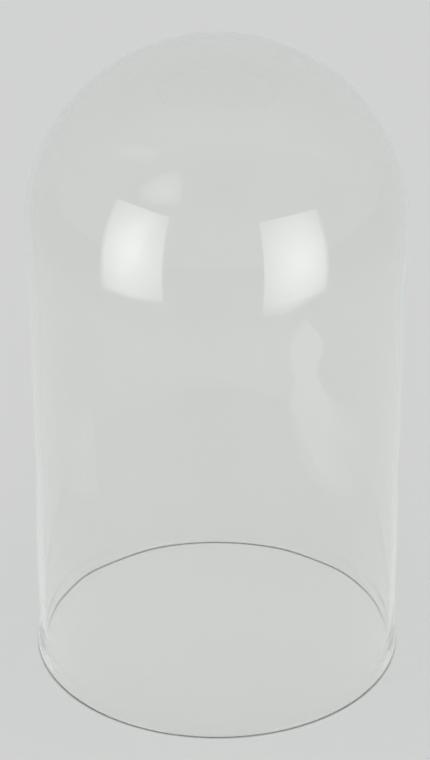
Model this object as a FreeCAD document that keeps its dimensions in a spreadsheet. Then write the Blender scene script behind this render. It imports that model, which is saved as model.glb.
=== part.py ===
import FreeCAD, Part
import math
import os

import Sketcher

# A blown-glass bell jar: one domed crown on a tall, slightly waisted wall, open at the bottom.
# Millimetres, +Z up. The origin is the centre of the mouth, in the plane that the rim rests on.
# The glass is one revolved body. Its half section has an outer and an inner side, each the same
# chain from the crown down to the lip: a quarter circle, a waisted wall, a straight foot, a
# flared lip and a rounded edge. The two sides meet at the apex and in a flat land under the rim.

SIZES = (
    ("dome_height", 400.0, "from the rim's land to the top of the crown"),
    ("rim_diameter", 230.0, "largest diameter, at the flared lip"),
    ("crown_radius", 113.7, "outer radius of the hemispherical crown"),
    ("waist_radius", 112.35, "outer radius that the wall draws in to"),
    ("foot_radius", 113.4, "outer radius of the straight foot above the lip"),
    ("shoulder_bend", 275.0, "height at which the wall starts to draw in from the crown"),
    ("waist_top", 246.0, "height at which it has drawn in"),
    ("waist_bottom", 114.0, "height at which it starts to widen again"),
    ("foot_bend", 84.0, "height at which it has widened to the foot"),
    ("foot_top", 72.0, "height of the top of the straight foot"),
    ("lip_top", 18.0, "height at which the foot ends and the lip starts"),
    ("flare_start", 9.0, "height at which the lip starts to flare"),
    ("flare_end", 3.5, "height at which the flare is complete"),
    ("crown_thickness", 4.0, "glass in the crown and the shoulder"),
    ("wall_thickness", 3.2, "glass at the foot and the waist"),
    ("rim_thickness", 3.6, "glass at the rim"),
    ("rim_rounding", 1.6, "radius of the rim's two polished edges"),
)

START, END, CENTRE = 1, 2, 3  # the sketcher's numbers for a curve's points
ORIGIN_AXIS = -2  # the sketcher's number for its own upright axis
MARK_RADIUS = 2.0  # size at which a spline's control points are drawn in the sketch


class Size:
    """A length in millimetres together with the spreadsheet expression that drives it."""

    def __init__(self, value, rule):
        self.value = value
        self.rule = rule

    def __add__(self, other):
        return Size(self.value + other.value, f"{self.rule} + {other.rule}")

    def __sub__(self, other):
        return Size(self.value - other.value, f"{self.rule} - ({other.rule})")

    def half(self):
        return Size(self.value / 2, f"({self.rule}) / 2")


def make_sheet(doc):
    """Write the driving dimensions into a spreadsheet, one row each."""
    sheet = doc.addObject("Spreadsheet::Sheet", "Sizes")
    for row, (alias, value, meaning) in enumerate(SIZES, start=1):
        sheet.set(f"A{row}", alias)
        sheet.set(f"B{row}", str(value))
        sheet.set(f"C{row}", meaning)
        sheet.setAlias(f"B{row}", alias)
    doc.recompute()
    return sheet


def read_sizes(sheet):
    """Every cell of the spreadsheet as a Size."""
    return {alias: Size(getattr(sheet, alias), "Sizes." + alias) for alias, _, _ in SIZES}


def outer_side(size):
    """The sizes that make the outside of the glass."""
    rim_radius = size["rim_diameter"].half()
    return {
        "apex_height": size["dome_height"],
        "crown_radius": size["crown_radius"],
        "upper_waist": size["waist_radius"],
        "lower_waist": size["waist_radius"],
        "foot_radius": size["foot_radius"],
        "rim_radius": rim_radius,
        "edge_centre": rim_radius - size["rim_rounding"],
    }


def inner_side(size):
    """The same sizes for the inside, each set back by the glass there."""
    rim_radius = size["rim_diameter"].half() - size["rim_thickness"]
    return {
        "apex_height": size["dome_height"] - size["crown_thickness"],
        "crown_radius": size["crown_radius"] - size["crown_thickness"],
        "upper_waist": size["waist_radius"] - size["crown_thickness"],
        "lower_waist": size["waist_radius"] - size["wall_thickness"],
        "foot_radius": size["foot_radius"] - size["wall_thickness"],
        "rim_radius": rim_radius,
        "edge_centre": rim_radius + size["rim_rounding"],
    }


def constrain(sketch, kind, *place):
    return sketch.addConstraint(Sketcher.Constraint(kind, *place))


def drive(sketch, name, size, kind, *place):
    """Add a dimension and bind it to the spreadsheet."""
    number = constrain(sketch, kind, *place, size.value)
    sketch.renameConstraint(number, name)
    sketch.setExpression("Constraints." + name, size.rule)


def add_arc(sketch, across, up, radius, start_degrees, end_degrees):
    """An arc in the sketch plane, anticlockwise from start to end."""
    centre = FreeCAD.Vector(across, up, 0)
    circle = Part.Circle(centre, FreeCAD.Vector(0, 0, 1), radius)
    ends = math.radians(start_degrees), math.radians(end_degrees)
    return sketch.addGeometry(Part.ArcOfCircle(circle, *ends))


def add_spline(sketch, name, poles):
    """A cubic spline whose control points are (across, up) pairs of Sizes, each one driven."""
    points = [FreeCAD.Vector(across.value, up.value, 0) for across, up in poles]
    curve = sketch.addGeometry(Part.BSplineCurve(points, None, None, False, 3, None, False))
    for number, (across, up) in enumerate(poles):
        mark = sketch.addGeometry(
            Part.Circle(points[number], FreeCAD.Vector(0, 0, 1), MARK_RADIUS), True
        )
        constrain(
            sketch, "InternalAlignment:Sketcher::BSplineControlPoint", mark, CENTRE, curve, number
        )
        constrain(sketch, "Weight", mark, 1.0)
        drive(sketch, f"{name}_across_{number}", across, "DistanceX", mark, CENTRE)
        drive(sketch, f"{name}_up_{number}", up, "DistanceY", mark, CENTRE)
    return curve


def add_line(sketch, first, first_point, second, second_point):
    """A straight line from one curve's end to another's."""
    ends = sketch.getPoint(first, first_point), sketch.getPoint(second, second_point)
    line = sketch.addGeometry(Part.LineSegment(*ends))
    constrain(sketch, "Coincident", line, START, first, first_point)
    constrain(sketch, "Coincident", line, END, second, second_point)
    return line


def draw_crown(sketch, side, wall):
    """The crown's quarter circle, from the top of the wall up to the apex."""
    radius = side["crown_radius"]
    centre_height = side["apex_height"] - radius
    crown = add_arc(sketch, 0, centre_height.value, radius.value, 0, 90)
    constrain(sketch, "PointOnObject", crown, CENTRE, ORIGIN_AXIS)
    constrain(sketch, "PointOnObject", crown, END, ORIGIN_AXIS)
    constrain(sketch, "Horizontal", crown, CENTRE, crown, START)
    constrain(sketch, "Coincident", crown, START, wall, START)
    return crown


def draw_wall(sketch, name, side, size):
    """The wall, from upright under the crown, in to the waist, and out to upright at the foot."""
    crown_radius = side["crown_radius"]
    return add_spline(
        sketch,
        name + "_wall",
        (
            (crown_radius, side["apex_height"] - crown_radius),
            (crown_radius, size["shoulder_bend"]),
            (side["upper_waist"], size["waist_top"]),
            (side["lower_waist"], size["waist_bottom"]),
            (side["foot_radius"], size["foot_bend"]),
            (side["foot_radius"], size["foot_top"]),
        ),
    )


def draw_lip(sketch, name, side, size):
    """The lip, which leaves the foot upright and flares out to the rim."""
    return add_spline(
        sketch,
        name + "_lip",
        (
            (side["foot_radius"], size["lip_top"]),
            (side["foot_radius"], size["flare_start"]),
            (side["rim_radius"], size["flare_end"]),
            (side["rim_radius"], size["rim_rounding"]),
        ),
    )


def draw_edge(sketch, name, side, size, lip):
    """The rim's polished edge, from the lip round to the land. Returns it and its lowest end."""
    rounding = size["rim_rounding"]
    if name == "outer":
        first_degrees, top, bottom = -90, END, START
    else:
        first_degrees, top, bottom = 180, START, END
    across = side["edge_centre"].value
    edge = add_arc(sketch, across, rounding.value, rounding.value, first_degrees, first_degrees + 90)
    constrain(sketch, "Coincident", edge, top, lip, END)
    constrain(sketch, "Vertical", edge, CENTRE, edge, bottom)
    drive(sketch, name + "_edge_across", side["edge_centre"], "DistanceX", edge, CENTRE)
    drive(sketch, name + "_edge_up", rounding, "DistanceY", edge, CENTRE)
    return edge, bottom


def draw_side(sketch, name, side, size):
    """One whole side of the section. Returns the crown, the edge and the edge's lowest end."""
    wall = draw_wall(sketch, name, side, size)
    crown = draw_crown(sketch, side, wall)
    lip = draw_lip(sketch, name, side, size)
    edge, bottom = draw_edge(sketch, name, side, size, lip)
    add_line(sketch, wall, END, lip, START)
    return crown, edge, bottom


def origin_plane(body, role):
    """One of the body's own origin planes."""
    return next(plane for plane in body.Origin.OriginFeatures if plane.Role == role)


def make_glass_dome(doc, sheet):
    """The dome itself: its half section, turned once round the upright axis."""
    body = doc.addObject("PartDesign::Body", "glass_dome")
    body.Label = "glass_dome"
    section = body.newObject("Sketcher::SketchObject", "half_section")
    section.AttachmentSupport = (origin_plane(body, "XZ_Plane"), [""])
    section.MapMode = "FlatFace"
    size = read_sizes(sheet)
    outer_crown, outer_edge, outer_bottom = draw_side(section, "outer", outer_side(size), size)
    inner_crown, inner_edge, inner_bottom = draw_side(section, "inner", inner_side(size), size)
    add_line(section, outer_crown, END, inner_crown, END)
    add_line(section, outer_edge, outer_bottom, inner_edge, inner_bottom)
    doc.recompute()
    if not section.FullyConstrained:
        raise RuntimeError("the half section is not fully constrained")
    turn = body.newObject("PartDesign::Revolution", "blown_glass")
    turn.Profile = section
    turn.ReferenceAxis = (section, ["V_Axis"])
    turn.Angle = 360
    body.Tip = turn
    body.Placement = FreeCAD.Placement()
    doc.recompute()
    return body


def check(doc, sub_parts):
    """Stop if any object failed or any sub-part is not one valid solid."""
    for item in doc.Objects:
        if "Invalid" in item.State or "Error" in item.State:
            raise RuntimeError(f"{item.Label} failed: {item.State}")
    for part in sub_parts:
        shape = part.Shape
        if shape.isNull() or not shape.isValid() or len(shape.Solids) != 1:
            raise RuntimeError(part.Label + " is not one valid solid")


def main():
    doc = FreeCAD.newDocument("bell_jar")
    sheet = make_sheet(doc)
    sub_parts = [make_glass_dome(doc, sheet)]
    check(doc, sub_parts)
    os.makedirs("parts", exist_ok=True)
    for part in sub_parts:
        part.Shape.exportStep(f"parts/{part.Label}.step")
        box = part.Shape.BoundBox
        print(part.Label, "volume", round(part.Shape.Volume), "mm3, box", box)


main()
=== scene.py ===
import math
import random

import bpy
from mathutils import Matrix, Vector


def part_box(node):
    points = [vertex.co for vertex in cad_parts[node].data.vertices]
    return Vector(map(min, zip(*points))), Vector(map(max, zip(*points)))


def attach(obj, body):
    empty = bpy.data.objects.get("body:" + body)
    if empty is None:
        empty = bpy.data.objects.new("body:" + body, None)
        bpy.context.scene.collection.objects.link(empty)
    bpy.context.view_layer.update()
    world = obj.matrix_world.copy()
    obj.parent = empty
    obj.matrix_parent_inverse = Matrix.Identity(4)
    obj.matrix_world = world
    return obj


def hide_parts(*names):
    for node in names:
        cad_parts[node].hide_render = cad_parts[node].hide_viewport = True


# A blown-glass bell jar on a pale floor, in metres, in the CAD model's own frame: the origin is the
# centre of the mouth, +Z is up and the viewer stands on the -Y side.

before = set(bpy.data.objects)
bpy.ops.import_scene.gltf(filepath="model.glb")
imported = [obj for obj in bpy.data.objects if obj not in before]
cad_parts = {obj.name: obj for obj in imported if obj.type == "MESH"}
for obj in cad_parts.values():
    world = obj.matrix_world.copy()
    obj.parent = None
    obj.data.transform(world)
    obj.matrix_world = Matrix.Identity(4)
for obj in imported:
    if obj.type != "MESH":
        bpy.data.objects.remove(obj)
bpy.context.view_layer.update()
low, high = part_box("glass_dome")

# The dome's outline. The box gives the rim and the height; the rest repeats the CAD model.
RIM_RADIUS = high.x
HEIGHT = high.z - low.z
CROWN_RADIUS = 0.1137
WAIST_RADIUS = 0.11235
FOOT_RADIUS = 0.1134
WAIST_TOP = 0.235
WAIST_BOTTOM = 0.125
FOOT_TOP = 0.078
LIP_TOP = 0.018
EDGE_ROUNDING = 0.0016
EQUATOR = HEIGHT - CROWN_RADIUS

CROWN_GLASS = 0.0040
WALL_GLASS = 0.0032
RIM_GLASS = 0.0036

# Mesh density: faces round the axis, and rings along each stretch of the outline.
SEGMENTS = 256
CROWN_RINGS = 72
WALL_RINGS = 60
LIP_RINGS = 14
EDGE_RINGS = 6


def smooth_step(value):
    """0 below 0, 1 above 1, and an even slope-free blend between."""
    value = min(max(value, 0.0), 1.0)
    return value * value * value * (value * (6 * value - 15) + 10)


def wall_radius(height):
    """The outside of the wall: upright under the crown, drawn in at the waist, upright at the foot."""
    draw_in = smooth_step((EQUATOR - height) / (EQUATOR - WAIST_TOP))
    widen = smooth_step((WAIST_BOTTOM - height) / (WAIST_BOTTOM - FOOT_TOP))
    drawn_in = CROWN_RADIUS + (WAIST_RADIUS - CROWN_RADIUS) * draw_in
    return drawn_in + (FOOT_RADIUS - WAIST_RADIUS) * widen


def outline(crown_glass, wall_glass, rim_glass):
    """(radius, height) pairs from just off the apex to the rim's edge, set back by the glass given."""
    points = []
    for ring in range(1, CROWN_RINGS):
        turn = math.pi / 2 * ring / CROWN_RINGS
        radius = CROWN_RADIUS - crown_glass
        points.append((radius * math.sin(turn), EQUATOR + radius * math.cos(turn)))
    for ring in range(WALL_RINGS):
        height = EQUATOR + (LIP_TOP - EQUATOR) * ring / WALL_RINGS
        thinning = smooth_step((WAIST_TOP - height) / (WAIST_TOP - WAIST_BOTTOM))
        points.append((wall_radius(height) - crown_glass - (wall_glass - crown_glass) * thinning, height))
    for ring in range(LIP_RINGS):
        share = ring / LIP_RINGS
        height = LIP_TOP + (EDGE_ROUNDING - LIP_TOP) * share
        flare = smooth_step(share)
        glass = wall_glass + (rim_glass - wall_glass) * flare
        points.append((FOOT_RADIUS + (RIM_RADIUS - FOOT_RADIUS) * flare - glass, height))
    return points


def rounded_edge(centre, first_degrees):
    """The quarter circle at one edge of the rim, towards the land from outside or from it inside."""
    points = []
    for ring in range(EDGE_RINGS + 1):
        turn = math.radians(first_degrees - 90 * ring / EDGE_RINGS)
        points.append(
            (centre + EDGE_ROUNDING * math.cos(turn), EDGE_ROUNDING + EDGE_ROUNDING * math.sin(turn))
        )
    return points


def make_waves(seed, count, shortest, longest, upright_share):
    """Random smooth ripples through space: (wave vector, phase, weight), fainter as they shorten."""
    draw = random.Random(seed)
    waves = []
    for _ in range(count):
        length = shortest * (longest / shortest) ** draw.random()
        heading = draw.uniform(0, 2 * math.pi)
        rise = draw.uniform(-1, 1) * upright_share
        direction = Vector((math.cos(heading), math.sin(heading), rise))
        waves.append((direction * 2 * math.pi / length, draw.uniform(0, 2 * math.pi), length / longest))
    return waves


def ripple(waves, point):
    return sum(weight * math.cos(vector.dot(point) + phase) for vector, phase, weight in waves)


# The wall bulges slowly on both faces together, and its outside has finer upright waves as well.
BULGE = make_waves(seed=3, count=7, shortest=0.10, longest=0.30, upright_share=0.7)
BULGE_DEPTH = 0.00006
DRAWN = make_waves(seed=8, count=9, shortest=0.03, longest=0.11, upright_share=0.25)
DRAWN_DEPTH = 0.000016

# The waves grow from nothing at the rim and die away to a tenth above the waist.
CALM_BELOW = 0.03
CALM_ABOVE = 0.06
CALMED = 0.9


def place(radius, height, angle, waves, depth):
    """A point on a surface of revolution, moved in or out by the glass's unevenness."""
    point = Vector((radius * math.cos(angle), radius * math.sin(angle), height))
    settle = smooth_step(height / CALM_BELOW)
    settle *= 1 - CALMED * smooth_step((height - WAIST_TOP) / CALM_ABOVE)
    shift = (ripple(BULGE, point) * BULGE_DEPTH + ripple(waves, point) * depth) * settle
    outward = Vector((point.x, point.y, 0))
    if height > EQUATOR:
        outward.z = height - EQUATOR
    return point + outward.normalized() * shift


def make_glass():
    """The dome as one closed mesh: down the outside, round the rim and up the inside."""
    outer = outline(0, 0, 0)
    inner = outline(CROWN_GLASS, WALL_GLASS, RIM_GLASS)
    rim = rounded_edge(RIM_RADIUS - EDGE_ROUNDING, 0)
    rim += rounded_edge(RIM_RADIUS - RIM_GLASS + EDGE_ROUNDING, -90)
    rings = [(r, z, True) for r, z in outer] + [(r, z, None) for r, z in rim]
    rings += [(r, z, False) for r, z in reversed(inner)]
    vertices = [Vector((0, 0, HEIGHT))]
    for radius, height, outside in rings:
        for segment in range(SEGMENTS):
            angle = 2 * math.pi * segment / SEGMENTS
            if outside is None:
                vertices.append((radius * math.cos(angle), radius * math.sin(angle), height))
            else:
                vertices.append(place(radius, height, angle, DRAWN if outside else [], DRAWN_DEPTH))
    vertices.append(Vector((0, 0, HEIGHT - CROWN_GLASS)))
    faces = []
    last = len(vertices) - 1
    for segment in range(SEGMENTS):
        beside = (segment + 1) % SEGMENTS
        faces.append((0, 1 + segment, 1 + beside))
        for ring in range(len(rings) - 1):
            start = 1 + ring * SEGMENTS
            faces.append(
                (start + segment, start + SEGMENTS + segment, start + SEGMENTS + beside, start + beside)
            )
        start = 1 + (len(rings) - 1) * SEGMENTS
        faces.append((start + segment, last, start + beside))
    mesh = bpy.data.meshes.new("blown_glass_dome")
    mesh.from_pydata(vertices, [], faces)
    mesh.update()
    mesh.polygons.foreach_set("use_smooth", [True] * len(mesh.polygons))
    dome = bpy.data.objects.new("blown_glass_dome", mesh)
    bpy.context.collection.objects.link(dome)
    return dome


class Nodes:
    """A short way to write a node tree."""

    def __init__(self, tree):
        self.tree = tree
        tree.nodes.clear()

    def add(self, kind, settings=None, **inputs):
        node = self.tree.nodes.new(kind)
        for name, value in (settings or {}).items():
            setattr(node, name, value)
        for name, value in inputs.items():
            socket = node.inputs[int(name[1:])] if name[1:].isdigit() else node.inputs[name]
            self.feed(socket, value)
        return node

    def feed(self, socket, value):
        if isinstance(value, bpy.types.NodeSocket):
            self.tree.links.new(value, socket)
        else:
            socket.default_value = value


GLASS_COLOUR = (0.982, 0.976, 0.966, 1)
DEPTH_COLOUR = (0.50, 0.78, 0.72, 1)
DEPTH_DENSITY = 10.0
REFRACTIVE_INDEX = 1.52

# The polish is perfect where the noise is below CLEAN_BELOW and dullest where it is above DULL_ABOVE.
FILM_SCALE = 35.0
CLEAN_BELOW = 0.45
DULL_ABOVE = 0.75
DULLEST_POLISH = 0.012


def glass_material():
    """Clear soda glass: blue-green in the depth and faintly uneven in its polish."""
    material = bpy.data.materials.new("clear_glass")
    material.use_nodes = True
    nodes = Nodes(material.node_tree)
    place_in_space = nodes.add("ShaderNodeTexCoord").outputs["Object"]
    film = nodes.add("ShaderNodeTexNoise", Vector=place_in_space, Scale=FILM_SCALE, Detail=3.0)
    polish = nodes.add(
        "ShaderNodeMapRange",
        _0=film.outputs["Fac"],
        _1=CLEAN_BELOW,
        _2=DULL_ABOVE,
        _3=0.0,
        _4=DULLEST_POLISH,
    )
    glass = nodes.add(
        "ShaderNodeBsdfPrincipled",
        **{
            "Base Color": GLASS_COLOUR,
            "Roughness": polish.outputs[0],
            "IOR": REFRACTIVE_INDEX,
            "Transmission Weight": 1.0,
        },
    )
    depth = nodes.add("ShaderNodeVolumeAbsorption", Color=DEPTH_COLOUR, Density=DEPTH_DENSITY)
    nodes.add("ShaderNodeOutputMaterial", Surface=glass.outputs[0], Volume=depth.outputs[0])
    return material


# The studio. The floor lies a hair below the rim, because two surfaces in the same place would
# hide each other.
CAMERA_AT = Vector((-0.0013, -1.2965, 0.8640))
CAMERA_PITCH = math.radians(27.69)
CAMERA_LENS = 113.7
FLOOR_LEVEL = -0.0002
FLOOR_REACH = 12
FLOOR_COLOUR = (0.845, 0.853, 0.848, 1)
WORLD_COLOUR = (0.995, 1.0, 0.998, 1)

# The world has its near brightness on the viewer's side and its far one where +Y is above FAR_FROM.
NEAR_BRIGHTNESS = 0.80
FAR_BRIGHTNESS = 0.64
FAR_FROM = 0.8


def make_camera():
    data = bpy.data.cameras.new("camera")
    data.lens = CAMERA_LENS
    data.sensor_width = 36
    data.clip_start = 0.01
    data.clip_end = 50
    camera = bpy.data.objects.new("camera", data)
    camera.location = CAMERA_AT
    camera.rotation_euler = (math.pi / 2 - CAMERA_PITCH, 0, 0)
    bpy.context.collection.objects.link(camera)
    bpy.context.scene.camera = camera


def make_plane(name, corners):
    mesh = bpy.data.meshes.new(name)
    mesh.from_pydata(corners, [], [tuple(range(len(corners)))])
    mesh.uv_layers.new(name="UVMap")
    for loop, uv in zip(mesh.uv_layers[0].data, ((0, 0), (1, 0), (1, 1), (0, 1))):
        loop.uv = uv
    mesh.update()
    plane = bpy.data.objects.new(name, mesh)
    bpy.context.collection.objects.link(plane)
    return plane


def calculate(nodes, operation, *values):
    """One arithmetic node."""
    inputs = {f"_{number}": value for number, value in enumerate(values)}
    return nodes.add("ShaderNodeMath", {"operation": operation}, **inputs).outputs[0]


def seen_in_reflection(nodes):
    """1 where the viewer sees a light mirrored in glass, 0 for everything else."""
    path = nodes.add("ShaderNodeLightPath")
    mirrored = calculate(nodes, "GREATER_THAN", path.outputs["Glossy Depth"], 0.5)
    direct = calculate(nodes, "LESS_THAN", path.outputs["Diffuse Depth"], 0.5)
    return calculate(nodes, "MULTIPLY", mirrored, direct)


def floor_material():
    material = bpy.data.materials.new("floor")
    material.use_nodes = True
    nodes = Nodes(material.node_tree)
    matt = nodes.add(
        "ShaderNodeBsdfPrincipled",
        **{"Base Color": FLOOR_COLOUR, "Roughness": 0.9, "Specular IOR Level": 0.1},
    )
    nodes.add("ShaderNodeOutputMaterial", Surface=matt.outputs[0])
    return material


def make_world():
    """Even pale light all round, a little dimmer on the far side of the dome."""
    world = bpy.data.worlds.new("studio")
    bpy.context.scene.world = world
    world.use_nodes = True
    nodes = Nodes(world.node_tree)
    heading = nodes.add(
        "ShaderNodeSeparateXYZ", Vector=nodes.add("ShaderNodeTexCoord").outputs["Generated"]
    )
    strength = nodes.add(
        "ShaderNodeMapRange",
        _0=heading.outputs["Y"],
        _1=0.0,
        _2=FAR_FROM,
        _3=NEAR_BRIGHTNESS,
        _4=FAR_BRIGHTNESS,
    )
    light = nodes.add("ShaderNodeBackground", Color=WORLD_COLOUR, Strength=strength.outputs[0])
    nodes.add("ShaderNodeOutputWorld", Surface=light.outputs[0])


# How far off its centre, as a share of its plane's width and height, a light is at its dimmest.
DIMMEST_OFF_CENTRE = 0.6


def mirrored_light(name, brightest, dimmest, gone_at, full_at):
    """A light seen only in reflections: brightest in its middle, and faded out along the plane's Y."""
    material = bpy.data.materials.new(name)
    material.use_nodes = True
    nodes = Nodes(material.node_tree)
    across = nodes.add("ShaderNodeTexCoord").outputs["UV"]
    off_centre = nodes.add(
        "ShaderNodeVectorMath", {"operation": "DISTANCE"}, _0=across, _1=(0.5, 0.5, 0)
    ).outputs["Value"]
    glow = nodes.add(
        "ShaderNodeMapRange", _0=off_centre, _2=DIMMEST_OFF_CENTRE, _3=brightest, _4=dimmest
    )
    light = nodes.add("ShaderNodeEmission", Color=(1, 1, 1, 1), Strength=glow.outputs[0])
    along = nodes.add("ShaderNodeSeparateXYZ", Vector=across).outputs["Y"]
    fade = nodes.add("ShaderNodeMapRange", _0=along, _1=gone_at, _2=full_at)
    shown = calculate(nodes, "MULTIPLY", seen_in_reflection(nodes), fade.outputs[0])
    clear = nodes.add("ShaderNodeBsdfTransparent")
    both = nodes.add("ShaderNodeMixShader", _0=shown, _1=clear.outputs[0], _2=light.outputs[0])
    nodes.add("ShaderNodeOutputMaterial", Surface=both.outputs[0])
    return material


# Two upright softboxes in front of the dome: (centre, width, height, heading in degrees, share of
# the height over which the foot fades out).
SOFTBOXES = {
    "softbox_left": ((-0.44, -0.41, 0.325), 0.39, 0.52, -42, 0.03),
    "softbox_right": ((0.47, -0.48, 0.28), 0.46, 0.59, 31, 0.09),
}
SOFTBOX_BRIGHTEST = 3.8
SOFTBOX_DIMMEST = 1.8

# Two strip lights on the floor beside it: (left, right, front, back, brightness).
STRIPS = {
    "strip_left": (-0.46, -0.335, -0.14, 0.06, 0.95),
    "strip_right": (0.335, 0.46, -0.40, 0.02, 1.25),
}
# The share of its length from which a strip fades out towards its back end.
STRIP_FADE_FROM = 0.4


def make_softboxes():
    for name, (centre, width, height, heading, faded_foot) in SOFTBOXES.items():
        turn = math.radians(heading)
        across = Vector((math.cos(turn), math.sin(turn), 0)) * width / 2
        up = Vector((0, 0, height / 2))
        middle = Vector(centre)
        corners = [middle - across - up, middle + across - up, middle + across + up, middle - across + up]
        front = mirrored_light(name, SOFTBOX_BRIGHTEST, SOFTBOX_DIMMEST, gone_at=0.0, full_at=faded_foot)
        make_plane(name, corners).data.materials.append(front)


def make_strips():
    for name, (left, right, front, back, brightness) in STRIPS.items():
        corners = [(left, front), (right, front), (right, back), (left, back)]
        strip = make_plane(name, [(across, depth, 0) for across, depth in corners])
        glow = mirrored_light(name, brightness, brightness, gone_at=1.0, full_at=STRIP_FADE_FROM)
        strip.data.materials.append(glow)


def make_studio():
    far = FLOOR_REACH
    corners = [(-far, -far), (far, -far), (far, far), (-far, far)]
    floor = make_plane("floor", [(across, depth, FLOOR_LEVEL) for across, depth in corners])
    floor.data.materials.append(floor_material())
    make_softboxes()
    make_strips()
    make_world()
    make_camera()
    bpy.context.scene.view_settings.view_transform = "Standard"
    # Light runs a long way inside the glass before it leaves, so the paths are given room.
    cycles = bpy.context.scene.cycles
    cycles.max_bounces = 48
    cycles.glossy_bounces = 40
    cycles.transmission_bounces = 40
    cycles.blur_glossy = 0


dome = make_glass()
dome.data.materials.append(glass_material())
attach(dome, "root")
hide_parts("glass_dome")
make_studio()
